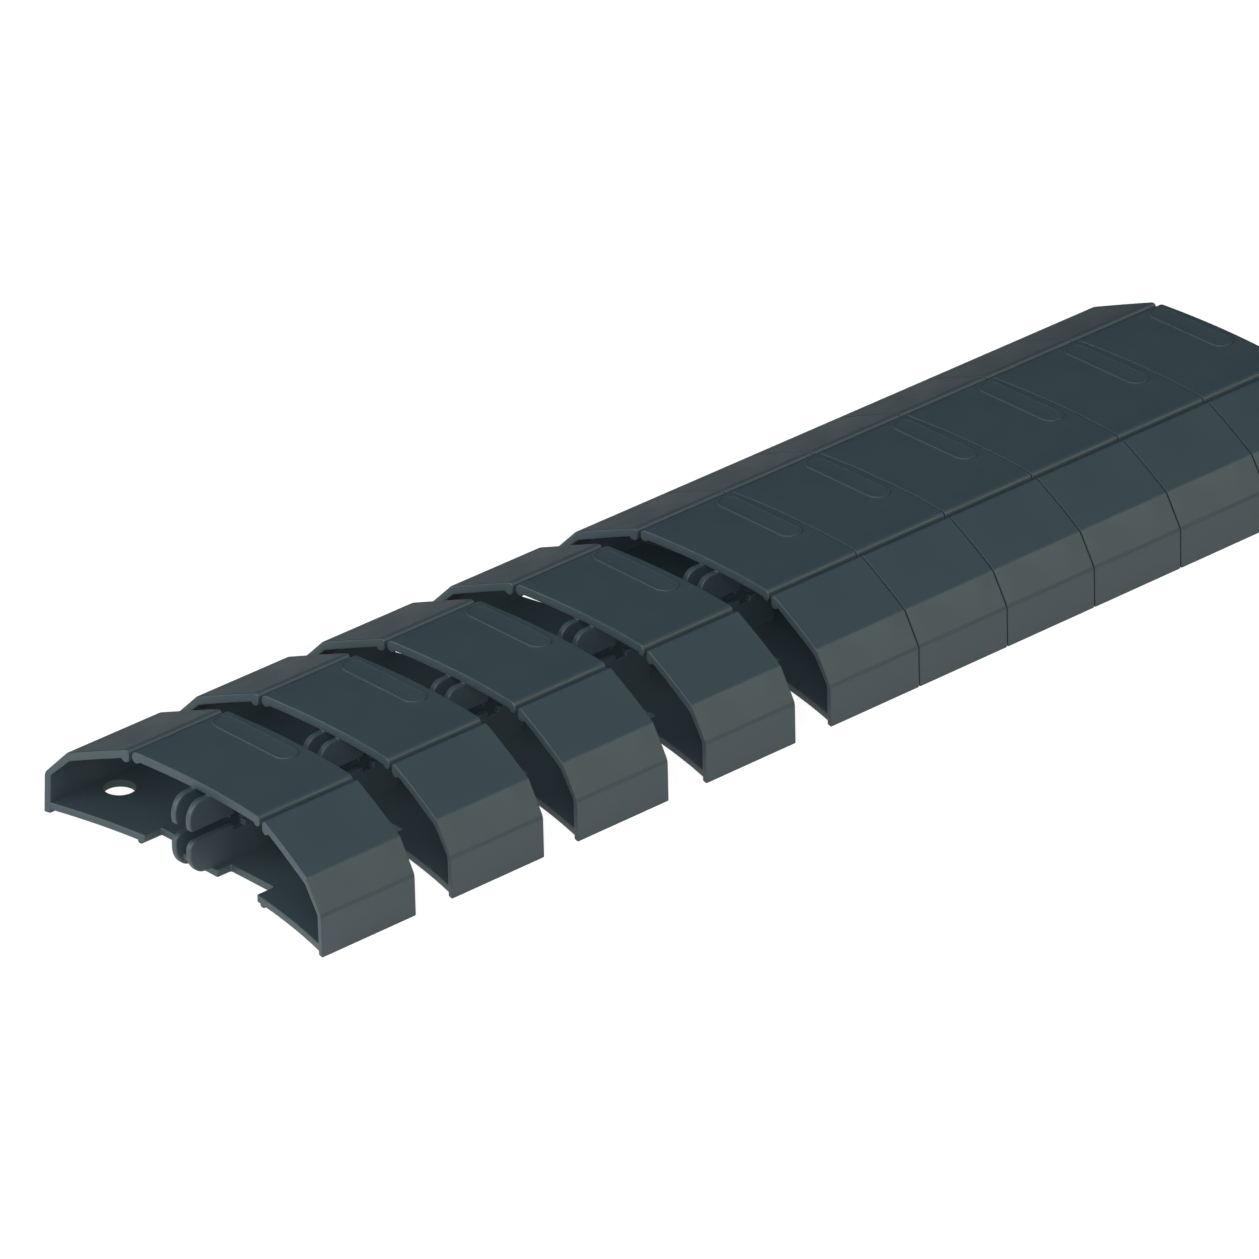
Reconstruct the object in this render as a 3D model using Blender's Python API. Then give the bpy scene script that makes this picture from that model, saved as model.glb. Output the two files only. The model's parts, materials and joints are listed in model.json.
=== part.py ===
# Articulated floor raceway for cables: ten like plastic links on one line.
# The first four links are pulled apart, the other six are pushed together.
# Units are metres. X is across, +Y runs away from the first link, +Z is up.

import math

import bmesh
import bpy
from mathutils import Matrix, Vector

# Driving sizes of one link
LINK_WIDTH = 0.130
LINK_HEIGHT = 0.033
LINK_LENGTH = 0.0391
END_BOW = 0.0080           # how far an end face curves back at its middle
FLOOR_BOW = 0.0093         # the same at the near edge of the floor
WALL_THICKNESS = 0.0023
LID_THICKNESS = 0.0028
PLATE_THICKNESS = 0.0032
FLOOR_THICKNESS = 0.0026
FOOT_HEIGHT = 0.0013       # the side walls and runners stand this much below the floor

# Section of a side
WALL_TOP = 0.0142          # where the upright wall ends
WALL_LEAN = 0.0005         # how far the wall leans in over that height
SHOULDER_INSET = 0.0092    # where the steep facet meets the sloping lid
SHOULDER_HEIGHT = 0.0237
INNER_WALL_DROP = 0.0006   # the inside corner over the wall lies this much lower
INNER_SHOULDER_INSET = 0.0009

# The two long slits for pressing cables in
PLATE_HALF_WIDTH = 0.0297
SLIT_WIDTH = 0.0012
LIP_CHAMFER = 0.0010
PLATE_CHAMFER = 0.0014
BEAD_WIDTH = 0.0034        # a rounded bead hangs under each edge of a slit
LID_BEAD_DROP = 0.0021
PLATE_BEAD_DROP = 0.0008

# Floor details
RUNNER_INNER = 0.0275
RUNNER_OUTER = 0.0297
RECESS_INNER = 0.0064
RECESS_OUTER = 0.0262
RECESS_DEPTH = 0.0149
HOLE_RADIUS = 0.0052
HOLE_ACROSS = 0.0551
HOLE_ALONG = 0.0230

# Spine: two upright webs with rounded noses, cut through by a level slot
WEB_POSITION = 0.0034
WEB_THICKNESS = 0.0023
SLOT_BOTTOM = 0.0160
SLOT_TOP = 0.0196
NOSE_LENGTH = 0.0050
NOSE_HEIGHT = 0.0066
NOSE_END = 205             # in degrees, where the nose's curve ends under its tip
NOSE_UNDERCUT = 0.0010     # the nose's lower corner lies this far behind its tip
LOWER_TOP_RADIUS = 0.0027
CHIN_LENGTH = 0.0060
CHIN_HEIGHT = 0.0076
CORE_START = 0.0256
CORE_END = 0.0335
WINDOW_ALONG = 0.0204      # side windows that open both webs at the slot
WINDOW_LENGTH = 0.0042
WINDOW_BOTTOM = 0.0142
WINDOW_TOP = 0.0210

# Tongue and pin, which run in the slot of the next link
RUNNING_GAP = 0.00035
TONGUE_HALF_WIDTH = 0.0034
PIN_RADIUS = 0.0019
PIN_BOTTOM = 0.0074
STOP_START = 0.0026        # the bar that keeps the pin in its channel
STOP_END = 0.0038
STOP_BOTTOM = 0.0070
STOP_TOP = 0.0092

# The row of links: the first ones are pulled apart by hand, so their pitches differ a little
LINK_COUNT = 10
LINK_GAP = 0.0003
CLOSED_PITCH = LINK_LENGTH + LINK_GAP
OPEN_PITCHES = (0.0540, 0.0532, 0.0552, 0.0544)

# At the longest pitch the pin of one link meets the stop of the next one
PIN_ALONG = max(OPEN_PITCHES) + STOP_END + LINK_GAP + PIN_RADIUS
TONGUE_END = PIN_ALONG + TONGUE_HALF_WIDTH

# Finish
PLASTIC_COLOUR = (0.042, 0.058, 0.068, 1.0)
PLASTIC_ROUGHNESS = 0.45

# How finely curved stretches are divided
BOW_STEPS = 14
BEAD_STEPS = 5
NOSE_STEPS = 7
CHIN_STEPS = 5
LOWER_TOP_STEPS = 4
TONGUE_STEPS = 8
HOLE_SIDES = 20
PIN_SIDES = 12
SHARP_ANGLE = 30           # in degrees

FLOOR_TOP = FOOT_HEIGHT + FLOOR_THICKNESS
HALF_WIDTH = LINK_WIDTH / 2
WEB_OUTER = WEB_POSITION + WEB_THICKNESS / 2
CUT_MARGIN = 0.005         # how far a cutter stands past what it cuts
PLAN_THICKNESS = 4 * LINK_HEIGHT
WELD_DISTANCE = 0.000005


def clear_scene():
    for thing in list(bpy.data.objects):
        bpy.data.objects.remove(thing, do_unlink=True)


def new_collection(name):
    collection = bpy.data.collections.new(name)
    bpy.context.scene.collection.children.link(collection)
    return collection


def plastic_material():
    material = bpy.data.materials.new("anthracite_plastic")
    material.use_nodes = True
    shader = material.node_tree.nodes["Principled BSDF"]
    shader.inputs["Base Color"].default_value = PLASTIC_COLOUR
    shader.inputs["Roughness"].default_value = PLASTIC_ROUGHNESS
    shader.inputs["Metallic"].default_value = 0.0
    return material


def arc(centre, radii, start, end, steps):
    """Points on part of an ellipse, between two angles in degrees."""
    points = []
    for step in range(steps + 1):
        angle = math.radians(start + (end - start) * step / steps)
        points.append((centre[0] + radii[0] * math.cos(angle), centre[1] + radii[1] * math.sin(angle)))
    return points


def mirrored(points):
    return [(-x, z) for x, z in reversed(points)]


def flat_shape(name, outlines, thickness, to_world):
    """A plate cut to flat outlines, as a closed mesh object."""
    curve = bpy.data.curves.new(name, "CURVE")
    curve.dimensions = "2D"
    curve.fill_mode = "BOTH"
    curve.extrude = thickness / 2
    for outline in outlines:
        spline = curve.splines.new("POLY")
        spline.points.add(len(outline) - 1)
        for point, (x, y) in zip(spline.points, outline):
            point.co = (x, y, 0.0, 1.0)
        spline.use_cyclic_u = True
    drawn = bpy.data.objects.new(name, curve)
    bpy.context.scene.collection.objects.link(drawn)
    bpy.context.view_layer.update()
    evaluated = drawn.evaluated_get(bpy.context.evaluated_depsgraph_get())
    mesh = bpy.data.meshes.new_from_object(evaluated)
    bpy.data.objects.remove(drawn, do_unlink=True)
    bpy.data.curves.remove(curve)
    mesh.transform(to_world)
    close_caps(mesh)
    shape = bpy.data.objects.new(name, mesh)
    bpy.context.scene.collection.objects.link(shape)
    return shape


def close_caps(mesh):
    shape = bmesh.new()
    shape.from_mesh(mesh)
    bmesh.ops.remove_doubles(shape, verts=shape.verts, dist=WELD_DISTANCE)
    bmesh.ops.recalc_face_normals(shape, faces=shape.faces)
    shape.to_mesh(mesh)
    shape.free()


def box(name, low, high):
    bpy.ops.mesh.primitive_cube_add(size=1.0)
    cube = bpy.context.active_object
    cube.name = name
    size = Vector(high) - Vector(low)
    middle = (Vector(high) + Vector(low)) / 2
    cube.data.transform(Matrix.Translation(middle) @ Matrix.Diagonal((*size, 1.0)))
    return cube


def post(name, radius, across, along, bottom, top, sides):
    bpy.ops.mesh.primitive_cylinder_add(vertices=sides, radius=radius, depth=top - bottom)
    cylinder = bpy.context.active_object
    cylinder.name = name
    cylinder.data.transform(Matrix.Translation((across, along, (top + bottom) / 2)))
    return cylinder


def tray_outline():
    """Floor, side walls and lids as one C-shaped section (across, up)."""
    lip = PLATE_HALF_WIDTH + SLIT_WIDTH
    shoulder = HALF_WIDTH - SHOULDER_INSET
    slope = (LINK_HEIGHT - SHOULDER_HEIGHT) / (shoulder - lip)
    lid_drop = LID_THICKNESS * math.hypot(1.0, slope)
    inner_wall = HALF_WIDTH - WALL_THICKNESS
    outside = [
        (lip + LIP_CHAMFER, LINK_HEIGHT - slope * LIP_CHAMFER),
        (shoulder, SHOULDER_HEIGHT),
        (HALF_WIDTH - WALL_LEAN, WALL_TOP),
        (HALF_WIDTH, 0.0),
        (inner_wall, 0.0),
        (inner_wall, FOOT_HEIGHT),
        (RUNNER_OUTER, FOOT_HEIGHT),
        (RUNNER_OUTER, 0.0),
        (RUNNER_INNER, 0.0),
        (RUNNER_INNER, FOOT_HEIGHT),
    ]
    inside = [
        (inner_wall, FLOOR_TOP),
        (inner_wall - WALL_LEAN, WALL_TOP - INNER_WALL_DROP),
        (shoulder - INNER_SHOULDER_INSET, SHOULDER_HEIGHT - LID_THICKNESS),
        *lid_bead(lip, LINK_HEIGHT - lid_drop, slope),
        (lip, LINK_HEIGHT - LIP_CHAMFER),
    ]
    return outside + mirrored(outside) + mirrored(inside) + inside


def lid_bead(lip, underside, slope):
    """The bead of a lid, from where it leaves the sloping underside to the slit."""
    radius = BEAD_WIDTH / 2
    centre = (lip + radius, underside - LID_BEAD_DROP + radius)
    tilt = math.atan(slope)
    height_over_underside = (radius * (1 + slope) - LID_BEAD_DROP) * math.cos(tilt)
    start = 360 - math.degrees(tilt + math.asin(height_over_underside / radius))
    return arc(centre, (radius, radius), start, 180, BEAD_STEPS)


def plate_outline():
    """The flat centre plate with a rounded bead along both slits (across, up)."""
    under = LINK_HEIGHT - PLATE_THICKNESS
    radius = BEAD_WIDTH / 2
    centre = (PLATE_HALF_WIDTH - radius, under - PLATE_BEAD_DROP + radius)
    end = 180 + math.degrees(math.asin(1 - PLATE_BEAD_DROP / radius))
    right = [
        (PLATE_HALF_WIDTH - PLATE_CHAMFER, LINK_HEIGHT),
        (PLATE_HALF_WIDTH, LINK_HEIGHT - PLATE_CHAMFER),
        *arc(centre, (radius, radius), 360, end, BEAD_STEPS),
    ]
    return right + mirrored(right)


def bowed_edge(bow):
    """An end edge seen from above: its corners at Y 0, its middle set back by the bow."""
    radius = (HALF_WIDTH * HALF_WIDTH + bow * bow) / (2 * bow)
    points = []
    for step in range(BOW_STEPS + 1):
        x = LINK_WIDTH * step / BOW_STEPS - HALF_WIDTH
        points.append((x, math.sqrt(radius * radius - x * x) - radius + bow))
    return points


def plan_outline():
    """The link seen from above. Both end faces bow the same way, so that links nest."""
    near = bowed_edge(END_BOW)
    far = [(x, y + LINK_LENGTH) for x, y in reversed(near)]
    side = HALF_WIDTH + CUT_MARGIN
    return [(-side, 0.0), *near, (side, 0.0), (side, LINK_LENGTH), *far, (-side, LINK_LENGTH)]


def floor_edge_outline():
    """What is cut off the near edge of the floor, seen from above."""
    return [*bowed_edge(FLOOR_BOW), (HALF_WIDTH, -CUT_MARGIN), (-HALF_WIDTH, -CUT_MARGIN)]


def upper_web_outline():
    """Side view (along, up) of a web that hangs under the centre plate."""
    into_plate = LINK_HEIGHT - PLATE_THICKNESS / 2
    shelf = LINK_HEIGHT - PLATE_THICKNESS - LINK_GAP
    nose = arc((NOSE_LENGTH, shelf - NOSE_HEIGHT), (NOSE_LENGTH, NOSE_HEIGHT), 90, NOSE_END, NOSE_STEPS)
    back = CORE_START + CUT_MARGIN
    edge = END_BOW + LINK_GAP
    return [
        (back, into_plate), (edge, into_plate), (edge, shelf), *nose,
        (NOSE_UNDERCUT, SLOT_TOP), (back, SLOT_TOP),
    ]


def lower_web_outline():
    """Side view (along, up) of a web that stands on the floor."""
    into_floor = FLOOR_TOP - FLOOR_THICKNESS / 2
    shelf = FLOOR_TOP + LINK_GAP
    radius = LOWER_TOP_RADIUS
    top = arc((radius, SLOT_BOTTOM - radius), (radius, radius), 90, 180, LOWER_TOP_STEPS)
    chin = arc((CHIN_LENGTH, shelf + CHIN_HEIGHT), (CHIN_LENGTH, CHIN_HEIGHT), 180, 270, CHIN_STEPS)
    back = CORE_START + CUT_MARGIN
    edge = FLOOR_BOW + LINK_GAP
    return [(back, SLOT_BOTTOM), *top, *chin, (edge, shelf), (edge, into_floor), (back, into_floor)]


def tongue_outline():
    """The tongue seen from above, with its round end about the pin."""
    end = arc((0.0, PIN_ALONG), (TONGUE_HALF_WIDTH, TONGUE_HALF_WIDTH), 180, 0, TONGUE_STEPS)
    root = CORE_END - CUT_MARGIN
    return [(-TONGUE_HALF_WIDTH, root), *end, (TONGUE_HALF_WIDTH, root)]


def combine(target, other, operation, cutters):
    modifier = target.modifiers.new(f"{operation.lower()} {other.name}", "BOOLEAN")
    modifier.object = other
    modifier.operation = operation
    modifier.solver = "EXACT"
    for collection in list(other.users_collection):
        collection.objects.unlink(other)
    cutters.objects.link(other)
    other.hide_render = True
    other.display_type = "WIRE"


def cut_floor(link, cutters):
    """The deeper bow, the recesses and the screw holes in the floor."""
    low = Matrix.Translation((0.0, 0.0, FLOOR_TOP / 2))
    edge = flat_shape("floor edge", [floor_edge_outline()], FLOOR_TOP + LINK_GAP, low)
    combine(link, edge, "DIFFERENCE", cutters)
    for side in (-1, 1):
        inner, outer = sorted((side * RECESS_INNER, side * RECESS_OUTER))
        recess = box(
            "recess",
            (inner, -CUT_MARGIN, -CUT_MARGIN),
            (outer, RECESS_DEPTH, FLOOR_TOP + CUT_MARGIN))
        combine(link, recess, "DIFFERENCE", cutters)
        hole = post(
            "screw hole", HOLE_RADIUS, side * HOLE_ACROSS, HOLE_ALONG,
            -CUT_MARGIN, FLOOR_TOP + CUT_MARGIN, HOLE_SIDES)
        combine(link, hole, "DIFFERENCE", cutters)


def add_spine(link, cutters):
    """Webs, core and pin stop, and the side windows through the webs."""
    side_view = Matrix(((0, 0, 1, 0), (1, 0, 0, 0), (0, 1, 0, 0), (0, 0, 0, 1)))
    for side in (-1, 1):
        place = Matrix.Translation((side * WEB_POSITION, 0.0, 0.0)) @ side_view
        for name, outline in (("upper web", upper_web_outline()), ("lower web", lower_web_outline())):
            combine(link, flat_shape(name, [outline], WEB_THICKNESS, place), "UNION", cutters)
    core = box(
        "core",
        (-WEB_OUTER, CORE_START, FLOOR_TOP - FLOOR_THICKNESS / 2),
        (WEB_OUTER, CORE_END, LINK_HEIGHT - PLATE_THICKNESS / 2))
    combine(link, core, "UNION", cutters)
    stop = box("pin stop", (-WEB_POSITION, STOP_START, STOP_BOTTOM), (WEB_POSITION, STOP_END, STOP_TOP))
    combine(link, stop, "UNION", cutters)
    window = box(
        "window",
        (-WEB_OUTER - CUT_MARGIN, WINDOW_ALONG - WINDOW_LENGTH / 2, WINDOW_BOTTOM),
        (WEB_OUTER + CUT_MARGIN, WINDOW_ALONG + WINDOW_LENGTH / 2, WINDOW_TOP))
    combine(link, window, "DIFFERENCE", cutters)


def add_tongue(link, cutters):
    bottom = SLOT_BOTTOM + RUNNING_GAP
    top = SLOT_TOP - RUNNING_GAP
    middle = (bottom + top) / 2
    lift = Matrix.Translation((0.0, 0.0, middle))
    combine(link, flat_shape("tongue", [tongue_outline()], top - bottom, lift), "UNION", cutters)
    pin = post("pin", PIN_RADIUS, 0.0, PIN_ALONG, PIN_BOTTOM, middle, PIN_SIDES)
    combine(link, pin, "UNION", cutters)


def link_mesh(cutters):
    """One link as a single moulding, with its origin on the axis of its pin."""
    end_view = Matrix(((1, 0, 0, 0), (0, 0, -1, 0), (0, 1, 0, 0), (0, 0, 0, 1)))
    reach = LINK_LENGTH + END_BOW + 2 * CUT_MARGIN
    middle = Matrix.Translation((0.0, reach / 2 - CUT_MARGIN, 0.0))
    link = flat_shape("link", [tray_outline(), plate_outline()], reach, middle @ end_view)
    plan = flat_shape("plan", [plan_outline()], PLAN_THICKNESS, Matrix.Identity(4))
    combine(link, plan, "INTERSECT", cutters)
    cut_floor(link, cutters)
    add_spine(link, cutters)
    add_tongue(link, cutters)
    bpy.context.view_layer.update()
    evaluated = link.evaluated_get(bpy.context.evaluated_depsgraph_get())
    mesh = bpy.data.meshes.new_from_object(evaluated)
    mesh.name = "link"
    mesh.transform(Matrix.Translation((0.0, -PIN_ALONG, 0.0)))
    mesh.shade_smooth()
    mesh.set_sharp_from_angle(angle=math.radians(SHARP_ANGLE))
    bpy.data.objects.remove(link, do_unlink=True)
    return mesh


def link_starts():
    """Where each link's near corners lie, with the whole row centred on Y 0."""
    closed_pitches = (LINK_COUNT - 1 - len(OPEN_PITCHES)) * (CLOSED_PITCH,)
    starts = [0.0]
    for pitch in OPEN_PITCHES + closed_pitches:
        starts.append(starts[-1] + pitch)
    middle = (starts[-1] + TONGUE_END) / 2
    return [start - middle for start in starts]


def build():
    clear_scene()
    raceway = new_collection("cable_raceway")
    cutters = new_collection("cutters")
    mesh = link_mesh(cutters)
    mesh.materials.clear()
    mesh.materials.append(plastic_material())
    for number, start in enumerate(link_starts(), 1):
        link = bpy.data.objects.new(f"link_{number:02d}", mesh)
        link.location = (0.0, start + PIN_ALONG, 0.0)
        raceway.objects.link(link)


build()
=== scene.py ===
import json
import math

import bmesh
import bpy
from mathutils import Matrix, Vector

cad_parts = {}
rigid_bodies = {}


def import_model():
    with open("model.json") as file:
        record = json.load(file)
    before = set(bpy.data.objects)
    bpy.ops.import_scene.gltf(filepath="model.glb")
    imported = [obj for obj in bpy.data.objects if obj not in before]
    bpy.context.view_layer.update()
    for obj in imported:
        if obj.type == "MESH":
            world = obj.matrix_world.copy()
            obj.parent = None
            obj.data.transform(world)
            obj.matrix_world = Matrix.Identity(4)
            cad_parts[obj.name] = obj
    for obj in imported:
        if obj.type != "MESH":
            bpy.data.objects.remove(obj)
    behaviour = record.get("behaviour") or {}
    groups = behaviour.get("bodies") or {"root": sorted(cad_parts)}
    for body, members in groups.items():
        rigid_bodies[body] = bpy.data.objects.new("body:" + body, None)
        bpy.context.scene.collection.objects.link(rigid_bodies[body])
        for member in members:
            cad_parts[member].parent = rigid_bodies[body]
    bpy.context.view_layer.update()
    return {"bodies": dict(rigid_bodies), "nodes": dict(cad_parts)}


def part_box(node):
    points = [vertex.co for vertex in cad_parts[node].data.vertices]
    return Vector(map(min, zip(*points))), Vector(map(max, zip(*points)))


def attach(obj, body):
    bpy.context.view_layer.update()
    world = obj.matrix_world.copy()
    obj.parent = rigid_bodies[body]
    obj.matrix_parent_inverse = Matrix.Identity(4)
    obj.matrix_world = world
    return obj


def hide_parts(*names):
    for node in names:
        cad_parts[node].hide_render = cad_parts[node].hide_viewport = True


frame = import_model()
linkNames = sorted(frame["nodes"])
bodyOfLink = {}
for bodyName, bodyEmpty in frame["bodies"].items():
    for node in bodyEmpty.children:
        bodyOfLink[node.name] = bodyName
print("frame loaded:", len(linkNames), "links")

# every length is in metres, and "along" is measured from a link's near corners
link = {
    "width": 0.130,
    "height": 0.033,
    "length": 0.0391,
    "bow": 0.0080,
    "edgeRounding": 0.00042,
    "sectionStep": 0.0025,    # the longest stretch between two points of a section
    "bevelAngle": 38,         # edges sharper than this are rounded
    "sharpAngle": 50,         # edges sharper than this stay crisp when shaded
}
halfWidth = link["width"] / 2


# outlines are lists of flat points, and a corner carries its rounding radius
def arcPoints(centre, radii, start, end, steps):
    points = []
    for step in range(steps + 1):
        angle = math.radians(start + (end - start) * step / steps)
        points.append((centre[0] + radii[0] * math.cos(angle), centre[1] + radii[1] * math.sin(angle)))
    return points


def circlePoints(centre, radius, count):
    return arcPoints(centre, (radius, radius), 0, 360 - 360 / count, count - 1)


def rectangle(left, right, bottom, top):
    return [(left, bottom), (right, bottom), (right, top), (left, top)]


def roundedOutline(corners, steps=5):
    points = []
    for index, (x, y, radius) in enumerate(corners):
        corner = Vector((x, y))
        if radius <= 0:
            points.append((x, y))
            continue
        before = (Vector(corners[index - 1][:2]) - corner).normalized()
        after = (Vector(corners[(index + 1) % len(corners)][:2]) - corner).normalized()
        half = before.angle(after) / 2
        centre = corner + (before + after).normalized() * radius / math.sin(half)
        first = corner + before * radius / math.tan(half) - centre
        last = corner + after * radius / math.tan(half) - centre
        for step in range(steps + 1):
            points.append(tuple(centre + first.slerp(last, step / steps).normalized() * radius))
    return points


def spacedOutline(points, gap):
    spaced = []
    for index, start in enumerate(points):
        end = points[(index + 1) % len(points)]
        count = max(1, math.ceil(math.dist(start, end) / gap))
        for part in range(count):
            share = part / count
            spaced.append((start[0] + (end[0] - start[0]) * share, start[1] + (end[1] - start[1]) * share))
    return spaced


def mirroredOutline(points):
    return [(-x, y) for x, y in reversed(points)]


# how far a bowed end edge lies along from its corners, at a place across the link
def setBack(x, bow):
    radius = (halfWidth * halfWidth + bow * bow) / (2 * bow)
    return math.sqrt(radius * radius - min(abs(x), halfWidth) ** 2) - radius + bow


# places for an outline: (across, up), (along, up) and (across, along)
endView = Matrix(((1, 0, 0, 0), (0, 0, 1, 0), (0, 1, 0, 0), (0, 0, 0, 1)))
sideView = Matrix(((0, 0, 1, 0), (1, 0, 0, 0), (0, 1, 0, 0), (0, 0, 0, 1)))
topView = Matrix.Identity(4)


# a block pushed out of an outline from start to end, with rounded edges
def pushedShape(name, outline, view, start, end, rounding, segments=2, bow=None):
    shape = bmesh.new()
    face = shape.faces.new([shape.verts.new((x, y, start)) for x, y in outline])
    pushed = bmesh.ops.extrude_face_region(shape, geom=[face])
    for item in pushed["geom"]:
        if isinstance(item, bmesh.types.BMVert):
            item.co.z = end
    bmesh.ops.recalc_face_normals(shape, faces=shape.faces)
    if rounding:
        sharp = [edge for edge in shape.edges
                 if edge.calc_face_angle(0) > math.radians(link["bevelAngle"])]
        bmesh.ops.bevel(
            shape, geom=sharp, offset=rounding, offset_type="OFFSET", segments=segments,
            profile=0.5, affect="EDGES", clamp_overlap=True)
    bmesh.ops.triangulate(
        shape, faces=[item for item in shape.faces if len(item.verts) > 4],
        quad_method="BEAUTY", ngon_method="BEAUTY")
    bmesh.ops.transform(shape, matrix=view, verts=shape.verts)
    if bow is not None:
        for vert in shape.verts:
            vert.co.y += setBack(vert.co.x, bow)
    bmesh.ops.recalc_face_normals(shape, faces=shape.faces)
    mesh = bpy.data.meshes.new(name)
    shape.to_mesh(mesh)
    shape.free()
    made = bpy.data.objects.new(name, mesh)
    bpy.context.scene.collection.objects.link(made)
    return made


# a section of the link pushed from the near end to the far end, both ends bowed
def pushedSection(name, corners, side=1):
    outline = spacedOutline(roundedOutline(corners), link["sectionStep"])
    if side < 0:
        outline = mirroredOutline(outline)
    return pushedShape(name, outline, endView, 0, link["length"], link["edgeRounding"], bow=link["bow"])


def join(target, other, operation="UNION"):
    modifier = target.modifiers.new(operation.lower() + " " + other.name, "BOOLEAN")
    modifier.object = other
    modifier.operation = operation
    modifier.solver = "EXACT"


# side walls with their sloping lids, which end in a rounded bead along the slit
cheek = {
    "wallThickness": 0.0023,
    "lidThickness": 0.0028,
    "wallTop": 0.0142,
    "wallLean": 0.0005,
    "shoulderInset": 0.0092,
    "shoulderHeight": 0.0237,
    "innerTopShare": 1 / 4,         # of the wall's thickness, the inside corner lies lower
    "innerShoulderShare": 1 / 3,    # of the lid's thickness, the inside corner lies further in
    "wallRounding": 0.0030,
    "shoulderRounding": 0.0020,
    "insideRounding": 0.0012,
    "lipRounding": 0.0013,
    "beadRadius": 0.0017,
    "beadDrop": 0.0021,
    "beadSteps": 9,
    "footRounding": 0.0004,
}
plate = {
    "thickness": 0.0032,
    "halfWidth": 0.0297,
    "slitWidth": 0.0012,
    "edgeRounding": 0.0017,
    "beadRadius": 0.0017,
    "beadDrop": 0.0008,
    "beadSteps": 10,
}
plateUnder = link["height"] - plate["thickness"]


def makeCheek(side):
    lip = plate["halfWidth"] + plate["slitWidth"]
    shoulder = halfWidth - cheek["shoulderInset"]
    innerShoulder = shoulder - cheek["lidThickness"] * cheek["innerShoulderShare"]
    innerWall = halfWidth - cheek["wallThickness"]
    innerTop = cheek["wallTop"] - cheek["wallThickness"] * cheek["innerTopShare"]
    slope = (link["height"] - cheek["shoulderHeight"]) / (shoulder - lip)
    lidDrop = cheek["lidThickness"] * math.hypot(1, slope)
    radius = cheek["beadRadius"]
    beadMiddle = (lip + radius, link["height"] - lidDrop - cheek["beadDrop"] + radius)
    tilt = math.atan(slope)
    sunk = (radius * (1 + slope) - cheek["beadDrop"]) * math.cos(tilt)
    beadStart = 360 - math.degrees(tilt + math.asin(sunk / radius))
    bead = arcPoints(beadMiddle, (radius, radius), beadStart, 180, cheek["beadSteps"])
    corners = [
        (lip, link["height"], cheek["lipRounding"]),
        (shoulder, cheek["shoulderHeight"], cheek["shoulderRounding"]),
        (halfWidth - cheek["wallLean"], cheek["wallTop"], cheek["wallRounding"]),
        (halfWidth, 0, cheek["footRounding"]),
        (innerWall, 0, cheek["footRounding"]),
        (innerWall - cheek["wallLean"], innerTop, cheek["insideRounding"]),
        (innerShoulder, cheek["shoulderHeight"] - cheek["lidThickness"], cheek["insideRounding"]),
        *[(x, z, 0) for x, z in bead],
    ]
    return [pushedSection("cheek", corners, side)]


def makePlate():
    edge = plate["halfWidth"]
    radius = plate["beadRadius"]
    beadMiddle = (edge - radius, plateUnder - plate["beadDrop"] + radius)
    beadEnd = 180 + math.degrees(math.asin(1 - plate["beadDrop"] / radius))
    bead = arcPoints(beadMiddle, (radius, radius), 360, beadEnd, plate["beadSteps"])
    corners = [
        (-edge, link["height"], plate["edgeRounding"]),
        (edge, link["height"], plate["edgeRounding"]),
        *[(x, z, 0) for x, z in bead + mirroredOutline(bead)],
    ]
    return [pushedSection("plate", corners)]


# the floor with its recesses, screw holes and runners
floorPlate = {
    "thickness": 0.0026,
    "lift": 0.0013,
    "bow": 0.0093,
    "rounding": 0.00035,
    "intoWall": 0.0012,
    "recessInner": 0.0064,
    "recessOuter": 0.0262,
    "recessDepth": 0.0149,
    "cornerRounding": 0.0006,
    "cornerSteps": 3,
    "cornerMargin": 0.0020,    # the curved edges stop this far before a recess
    "sideSteps": 14,
    "middleSteps": 3,
    "farSteps": 40,
    "holeRadius": 0.0052,
    "holeAcross": 0.0551,
    "holeAlong": 0.0230,
    "holePoints": 48,
    "cutterReach": 0.01,
    "runnerAcross": 0.0286,
    "runnerRadius": 0.0011,
    "runnerRounding": 0.8,     # a share of the runner's radius
    "runnerRoot": 0.0010,
    "runnerInset": 0.0004,
}
floorTop = floorPlate["lift"] + floorPlate["thickness"]


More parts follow.
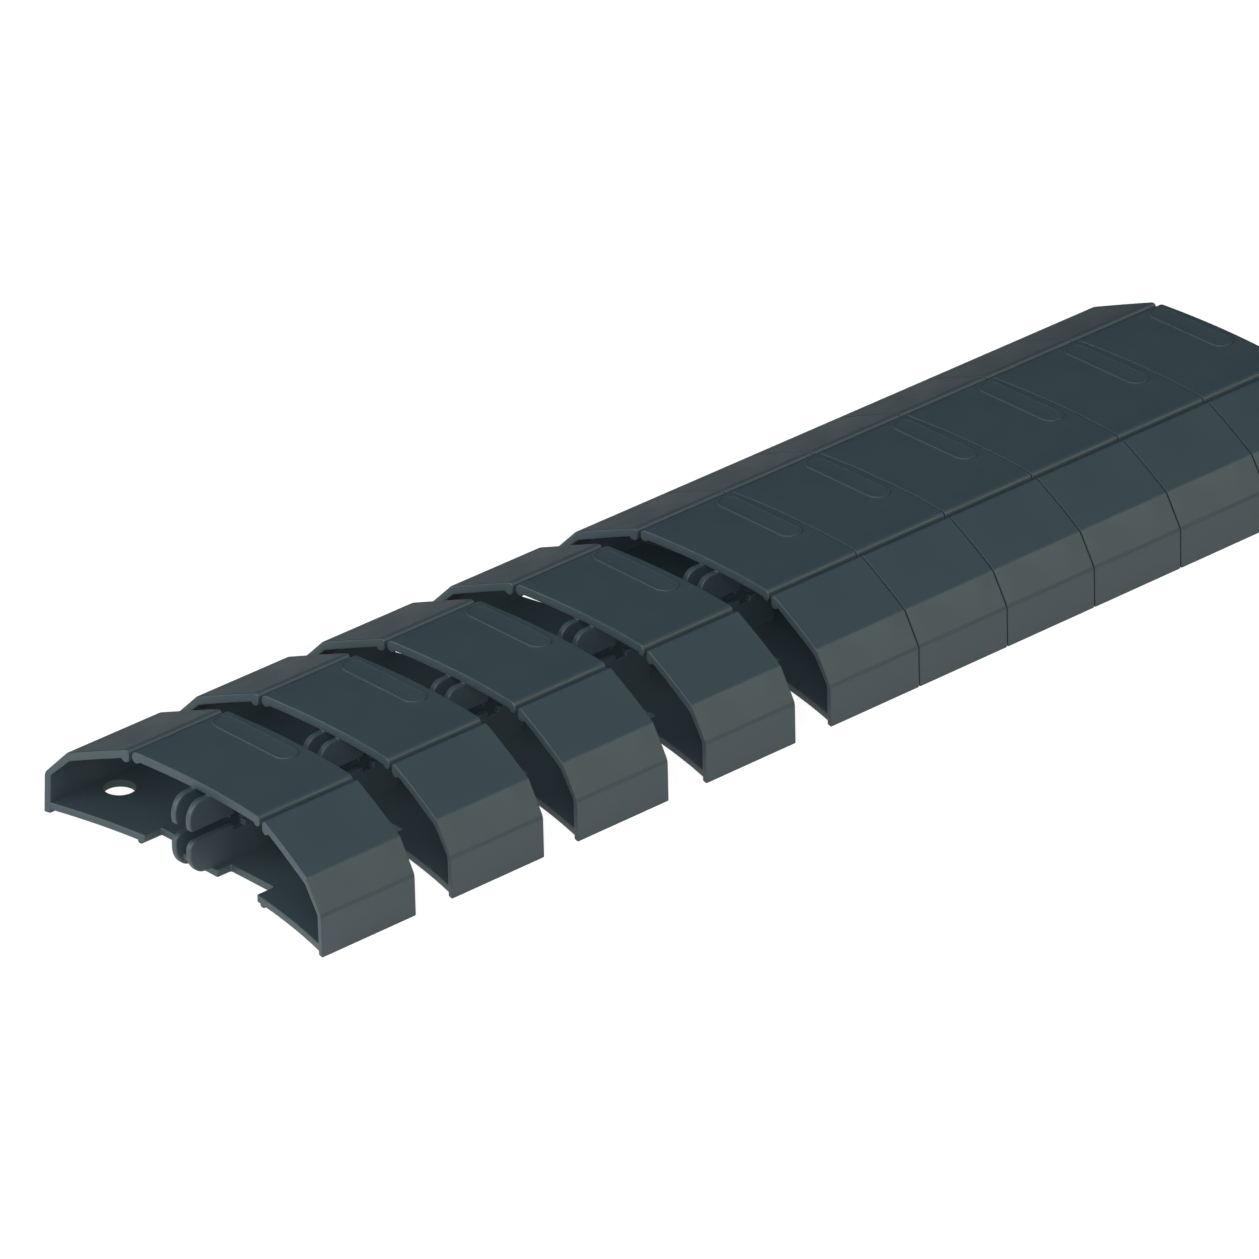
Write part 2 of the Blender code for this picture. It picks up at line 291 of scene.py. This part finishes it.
def makeFloor():
    side = halfWidth - cheek["wallThickness"] + floorPlate["intoWall"]
    outer, inner = floorPlate["recessOuter"], floorPlate["recessInner"]
    deep = floorPlate["recessDepth"]
    margin = floorPlate["cornerMargin"]

    def endEdge(start, end, count, base=0, bow=floorPlate["bow"]):
        places = [start + (end - start) * step / count for step in range(count + 1)]
        return [(x, base + setBack(x, bow), 0) for x in places]

    def cornerAt(x, along=None):
        return (x, setBack(x, floorPlate["bow"]) if along is None else along, floorPlate["cornerRounding"])

    corners = [
        *endEdge(-side, -outer - margin, floorPlate["sideSteps"]),
        cornerAt(-outer), cornerAt(-outer, deep), cornerAt(-inner, deep), cornerAt(-inner),
        *endEdge(-inner + margin, inner - margin, floorPlate["middleSteps"]),
        cornerAt(inner), cornerAt(inner, deep), cornerAt(outer, deep), cornerAt(outer),
        *endEdge(outer + margin, side, floorPlate["sideSteps"]),
        *endEdge(side, -side, floorPlate["farSteps"], link["length"], link["bow"]),
    ]
    made = pushedShape(
        "floor", roundedOutline(corners, floorPlate["cornerSteps"]), topView,
        floorPlate["lift"], floorTop, floorPlate["rounding"])
    reach = floorPlate["cutterReach"]
    for sign in (-1, 1):
        hole = circlePoints(
            (sign * floorPlate["holeAcross"], floorPlate["holeAlong"]),
            floorPlate["holeRadius"], floorPlate["holePoints"])
        join(made, pushedShape("screw hole", hole, topView, -reach, reach, 0), "DIFFERENCE")
    return [made, makeRunner(-1), makeRunner(1)]


# a low foot under the floor, from just behind its near edge to just before its far edge
def makeRunner(side):
    across = side * floorPlate["runnerAcross"]
    radius = floorPlate["runnerRadius"]
    rounding = radius * floorPlate["runnerRounding"]
    root = floorTop - floorPlate["runnerRoot"]
    near = setBack(across, floorPlate["bow"]) + floorPlate["runnerInset"]
    far = link["length"] + setBack(across, link["bow"]) - floorPlate["runnerInset"]
    corners = [
        (across - radius, root, 0), (across - radius, 0, rounding),
        (across + radius, 0, rounding), (across + radius, root, 0),
    ]
    return pushedShape("runner", roundedOutline(corners), endView, near, far, floorPlate["rounding"])


# the upright webs with the slot and the window between them, and the core behind
spine = {
    "webAcross": 0.0034,
    "webThickness": 0.0023,
    "webRounding": 0.0005,
    "webSegments": 3,
    "slotBottom": 0.0160,
    "slotTop": 0.0196,
    "noseLength": 0.0050,
    "noseHeight": 0.0066,
    "noseEnd": 205,            # the angle where the nose's arc ends under its tip
    "noseSteps": 16,
    "noseHeelShare": 1 / 5,    # of the nose's length, the slot starts this far along
    "lowerTopRadius": 0.0027,
    "lowerTopSteps": 8,
    "chinLength": 0.0060,
    "chinHeight": 0.0076,
    "chinSteps": 12,
    "coreStart": 0.0256,
    "coreEnd": 0.0335,
    "windowAlong": 0.0204,
    "windowLength": 0.0042,
    "windowBottom": 0.0142,
    "windowTop": 0.0210,
    "shelfGap": 0.0003,
    "overlap": 0.0010,
}
windowStart = spine["windowAlong"] - spine["windowLength"] / 2
windowEnd = spine["windowAlong"] + spine["windowLength"] / 2
webBack = spine["coreStart"] + spine["overlap"]


def upperWebOutline():
    top = plateUnder + spine["overlap"]
    shelf = plateUnder - spine["shelfGap"]
    edge = link["bow"] + spine["shelfGap"]
    length, height = spine["noseLength"], spine["noseHeight"]
    nose = arcPoints((length, shelf - height), (length, height), 90, spine["noseEnd"], spine["noseSteps"])
    return [
        (webBack, top), (edge, top), (edge, shelf), *nose,
        (length * spine["noseHeelShare"], spine["slotTop"]),
        (windowStart, spine["slotTop"]), (windowStart, spine["windowTop"]),
        (windowEnd, spine["windowTop"]), (windowEnd, spine["slotTop"]), (webBack, spine["slotTop"]),
    ]


def lowerWebOutline():
    bottom = floorTop - spine["overlap"]
    shelf = floorTop + spine["shelfGap"]
    edge = floorPlate["bow"] + spine["shelfGap"]
    radius = spine["lowerTopRadius"]
    length, height = spine["chinLength"], spine["chinHeight"]
    top = arcPoints(
        (radius, spine["slotBottom"] - radius), (radius, radius), 90, 180, spine["lowerTopSteps"])
    chin = arcPoints((length, shelf + height), (length, height), 180, 270, spine["chinSteps"])
    return [
        (webBack, spine["slotBottom"]), (windowEnd, spine["slotBottom"]),
        (windowEnd, spine["windowBottom"]), (windowStart, spine["windowBottom"]),
        (windowStart, spine["slotBottom"]), *top, *chin,
        (edge, shelf), (edge, bottom), (webBack, bottom),
    ]


# the tongue that slides in the next link's slot, its pin, and the stop that the pin meets
tongue = {
    "halfWidth": 0.0034,
    "runningGap": 0.00035,
    "endSteps": 24,
    "pinAlong": 0.0612,
    "pinRadius": 0.0019,
    "pinBottom": 0.0074,
    "pinPoints": 24,
    "stopStart": 0.0026,
    "stopEnd": 0.0038,
    "stopBottom": 0.0070,
    "stopTop": 0.0092,
    "rounding": 0.0004,
}


def makeSpine():
    made = []
    half = spine["webThickness"] / 2
    for side in (-1, 1):
        middle = side * spine["webAcross"]
        for name, outline in (("upper web", upperWebOutline()), ("lower web", lowerWebOutline())):
            made.append(pushedShape(
                name, outline, sideView, middle - half, middle + half,
                spine["webRounding"], spine["webSegments"]))
    outer = spine["webAcross"] + half
    core = rectangle(
        spine["coreStart"], spine["coreEnd"], floorTop - spine["overlap"], plateUnder + spine["overlap"])
    made.append(pushedShape("core", core, sideView, -outer, outer, spine["webRounding"]))
    stop = rectangle(tongue["stopStart"], tongue["stopEnd"], tongue["stopBottom"], tongue["stopTop"])
    made.append(pushedShape(
        "pin stop", stop, sideView, -spine["webAcross"], spine["webAcross"], tongue["rounding"]))
    return made


def makeTongue():
    wide = tongue["halfWidth"]
    root = spine["coreEnd"] - spine["overlap"]
    bottom = spine["slotBottom"] + tongue["runningGap"]
    top = spine["slotTop"] - tongue["runningGap"]
    pinMiddle = (0, tongue["pinAlong"])
    end = arcPoints(pinMiddle, (wide, wide), 180, 0, tongue["endSteps"])
    flat = pushedShape(
        "tongue", [(-wide, root), *end, (wide, root)], topView, bottom, top, tongue["rounding"])
    pin = pushedShape(
        "pin", circlePoints(pinMiddle, tongue["pinRadius"], tongue["pinPoints"]), topView,
        tongue["pinBottom"], (bottom + top) / 2, tongue["rounding"])
    return [flat, pin]


# the plain pad on the centre plate, a flat field inside a low rim
pad = {
    "across": -0.0098,
    "along": 0.0399,
    "length": 0.0364,
    "width": 0.0086,
    "endSteps": 20,
    "sink": 0.0010,
    "rimWidth": 0.0008,
    "rimRise": 0.00040,
    "fieldRise": 0.00010,
    "rounding": 0.00020,
}


def stadiumOutline(length, width):
    radius = width / 2
    reach = length / 2 - radius
    right = arcPoints((reach, 0), (radius, radius), -90, 90, pad["endSteps"])
    left = arcPoints((-reach, 0), (radius, radius), 90, 270, pad["endSteps"])
    return right + left


def makePad():
    place = Matrix.Translation((pad["across"], pad["along"], 0))
    top = link["height"]
    made = pushedShape(
        "pad", stadiumOutline(pad["length"], pad["width"]), place,
        top - pad["sink"], top + pad["rimRise"], pad["rounding"])
    inner = stadiumOutline(pad["length"] - 2 * pad["rimWidth"], pad["width"] - 2 * pad["rimWidth"])
    field = pushedShape("pad field", inner, place, top + pad["fieldRise"], top + 2 * pad["sink"], 0)
    join(made, field, "DIFFERENCE")
    return [made]


# all shapes of one link are united in one mesh, and the helpers are taken away
def makeLinkMesh():
    pieces = [makeFloor(), makeCheek(-1), makeCheek(1), makePlate(), makeSpine(), makeTongue(), makePad()]
    shapes = [shape for group in pieces for shape in group]
    whole = shapes[0]
    for shape in shapes[1:]:
        join(whole, shape)
    bpy.context.view_layer.update()
    evaluated = whole.evaluated_get(bpy.context.evaluated_depsgraph_get())
    mesh = bpy.data.meshes.new_from_object(evaluated)
    for thing in list(bpy.context.scene.collection.objects):
        if thing.type == "MESH" and thing.name not in linkNames:
            bpy.data.objects.remove(thing, do_unlink=True)
    return mesh


# large faces keep an even shade beside their small rounded edges
def evenShading(mesh):
    mesh.shade_smooth()
    mesh.set_sharp_from_angle(angle=math.radians(link["sharpAngle"]))
    holder = bpy.data.objects.new("shading holder", mesh)
    bpy.context.scene.collection.objects.link(holder)
    weigh = holder.modifiers.new("even shading", "WEIGHTED_NORMAL")
    weigh.keep_sharp = True
    bpy.context.view_layer.update()
    evened = bpy.data.meshes.new_from_object(holder.evaluated_get(bpy.context.evaluated_depsgraph_get()))
    bpy.data.objects.remove(holder, do_unlink=True)
    return evened


linkMesh = evenShading(makeLinkMesh())
linkMesh.name = "linkMoulding"
print("link moulding:", len(linkMesh.polygons), "faces")


# satin moulded plastic: a fine grain, faint flow marks and a slightly uneven sheen
plastic = {
    "colour": (0.0305, 0.052, 0.064, 1),
    "paleColour": (0.0380, 0.061, 0.073, 1),
    "ior": 1.46,
    "roughness": (0.43, 0.50),
    "sheenRange": (0.35, 0.65),    # the noise values that become the two roughnesses
    "flowDepth": 0.00003,
    "grainDepth": 0.000012,
    "cloudNoise": (28, 4, 0.6),    # scale, detail and roughness of each noise
    "sheenNoise": (55, 3, 0.5),
    "flowNoise": (55, 2, 0.5),
    "grainNoise": (2600, 3, 0.5),
}


def makePlastic():
    material = bpy.data.materials.new("anthracitePlastic")
    material.use_nodes = True
    nodes, links = material.node_tree.nodes, material.node_tree.links
    shader = nodes["Principled BSDF"]
    shader.inputs["IOR"].default_value = plastic["ior"]
    place = nodes.new("ShaderNodeTexCoord")

    def noise(kind):
        made = nodes.new("ShaderNodeTexNoise")
        for socket, value in zip(("Scale", "Detail", "Roughness"), plastic[kind]):
            made.inputs[socket].default_value = value
        links.new(place.outputs["Object"], made.inputs["Vector"])
        return made.outputs["Fac"]

    def bump(kind, depth):
        made = nodes.new("ShaderNodeBump")
        made.inputs["Distance"].default_value = depth
        links.new(noise(kind), made.inputs["Height"])
        return made

    colour = nodes.new("ShaderNodeMix")
    colour.data_type = "RGBA"
    colour.inputs["A"].default_value = plastic["colour"]
    colour.inputs["B"].default_value = plastic["paleColour"]
    links.new(noise("cloudNoise"), colour.inputs["Factor"])
    links.new(colour.outputs["Result"], shader.inputs["Base Color"])

    sheen = nodes.new("ShaderNodeMapRange")
    sheen.inputs["From Min"].default_value, sheen.inputs["From Max"].default_value = plastic["sheenRange"]
    sheen.inputs["To Min"].default_value, sheen.inputs["To Max"].default_value = plastic["roughness"]
    links.new(noise("sheenNoise"), sheen.inputs["Value"])
    links.new(sheen.outputs["Result"], shader.inputs["Roughness"])

    flow = bump("flowNoise", plastic["flowDepth"])
    grain = bump("grainNoise", plastic["grainDepth"])
    links.new(flow.outputs["Normal"], grain.inputs["Normal"])
    links.new(grain.outputs["Normal"], shader.inputs["Normal"])
    return material


linkMesh.materials.clear()
linkMesh.materials.append(makePlastic())

for name in linkNames:
    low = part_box(name)[0]
    piece = bpy.data.objects.new(name.replace("link", "moulding"), linkMesh)
    bpy.context.scene.collection.objects.link(piece)
    piece.location = (0, low.y, 0)
    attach(piece, bodyOfLink[name])
    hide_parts(name)
print("links placed")


# the camera alone sees the paper, and a hidden card just below it lights the plastic
paper = {
    "size": 40,
    "height": 0,
    "colour": (0.20, 0.20, 0.20, 1),
    "glow": (0.90, 0.90, 0.90, 1),    # strong, so the white is nearly shadowless
    "roughness": 0.8,
}
bounce = {
    "size": 0.74,                     # small, so that little of it is mirrored at low angles
    "height": -0.001,
    "colour": (1, 1, 1, 1),
    "glow": (0.17, 0.13, 0.09, 1),
    "roughness": 0.8,
}


def addFloor(name, sheet):
    bpy.ops.mesh.primitive_plane_add(size=sheet["size"], location=(0, 0, sheet["height"]))
    floor = bpy.context.object
    floor.name = name
    material = bpy.data.materials.new(name)
    material.use_nodes = True
    shader = material.node_tree.nodes["Principled BSDF"]
    shader.inputs["Base Color"].default_value = sheet["colour"]
    shader.inputs["Roughness"].default_value = sheet["roughness"]
    shader.inputs["Emission Color"].default_value = sheet["glow"]
    shader.inputs["Emission Strength"].default_value = 1
    floor.data.materials.append(material)
    return floor


# the surroundings are black at the horizon and dim overhead
sky = {
    "colour": (0.29, 0.36, 0.44, 1),
    "heights": (0.48, 0.84),    # where it starts and where it is full, from 0 level to 1 overhead
}


def makeWorld():
    world = bpy.data.worlds.new("studioWorld")
    world.use_nodes = True
    nodes, links = world.node_tree.nodes, world.node_tree.links
    place = nodes.new("ShaderNodeTexCoord")
    split = nodes.new("ShaderNodeSeparateXYZ")
    height = nodes.new("ShaderNodeMapRange")
    height.inputs["From Min"].default_value, height.inputs["From Max"].default_value = sky["heights"]
    links.new(place.outputs["Generated"], split.inputs["Vector"])
    links.new(split.outputs["Z"], height.inputs["Value"])
    nodes["Background"].inputs["Color"].default_value = sky["colour"]
    links.new(height.outputs["Result"], nodes["Background"].inputs["Strength"])
    bpy.context.scene.world = world


softboxes = {
    "keySoftbox": {
        "place": (1.25, -1.50, 1.55), "size": (1.5, 1.5), "power": 28, "colour": (1, 0.85, 0.82)},
    "sideSoftbox": {
        "place": (1.71, 1.85, 1.80), "size": (1.6, 1.3), "power": 23, "colour": (1, 0.98, 0.74)},
    "leftSoftbox": {
        "place": (-0.80, -1.20, 1.35), "size": (1.4, 0.6), "power": 3, "colour": (1, 1, 1)},
    "frontSoftbox": {
        "place": (-0.60, -1.75, 0.55), "size": (1.3, 0.8), "power": 20, "colour": (0.93, 1, 0.92)},
}
fill = {
    "power": 0.95,
    "angle": 50,
    "place": (0.646, -0.604, 0.466),
}


# every lamp looks at the middle of the row
def addLamp(name, lamp, place):
    made = bpy.data.objects.new(name, lamp)
    made.location = place
    made.rotation_euler = (-Vector(place)).to_track_quat("-Z", "Y").to_euler()
    bpy.context.scene.collection.objects.link(made)


def addSoftbox(name, box):
    lamp = bpy.data.lights.new(name, "AREA")
    lamp.shape = "RECTANGLE"
    lamp.size, lamp.size_y = box["size"]
    lamp.energy = box["power"]
    lamp.color = box["colour"]
    addLamp(name, lamp, box["place"])


# a faint light without shadows, which lifts the insides a little
def addFill():
    lamp = bpy.data.lights.new("fillLight", "SUN")
    lamp.energy = fill["power"]
    lamp.angle = math.radians(fill["angle"])
    lamp.use_shadow = False
    addLamp("fillLight", lamp, fill["place"])


view = {
    "location": (2.71251, -2.58791, 1.97801),
    "azimuth": 46.890,
    "elevation": 27.790,
    "roll": -0.262,
    "lens": 377.99,
    "sensor": 36,
    "clip": (0.1, 50),
}


def addCamera():
    lens = bpy.data.cameras.new("photoCamera")
    lens.lens = view["lens"]
    lens.sensor_width = view["sensor"]
    lens.clip_start, lens.clip_end = view["clip"]
    made = bpy.data.objects.new("photoCamera", lens)
    turn = Matrix.Rotation(math.radians(view["azimuth"]), 4, "Z")
    tilt = Matrix.Rotation(math.radians(90 - view["elevation"]), 4, "X")
    roll = Matrix.Rotation(math.radians(view["roll"]), 4, "Z")
    made.matrix_world = Matrix.Translation(view["location"]) @ turn @ tilt @ roll
    bpy.context.scene.collection.objects.link(made)
    bpy.context.scene.camera = made


paperFloor = addFloor("paperFloor", paper)
paperFloor.visible_diffuse = paperFloor.visible_glossy = paperFloor.visible_shadow = False
bounceFloor = addFloor("bounceFloor", bounce)
bounceFloor.visible_camera = False
makeWorld()
for name, box in softboxes.items():
    addSoftbox(name, box)
addFill()
addCamera()
bpy.context.scene.view_settings.view_transform = "Standard"
print("studio ready")
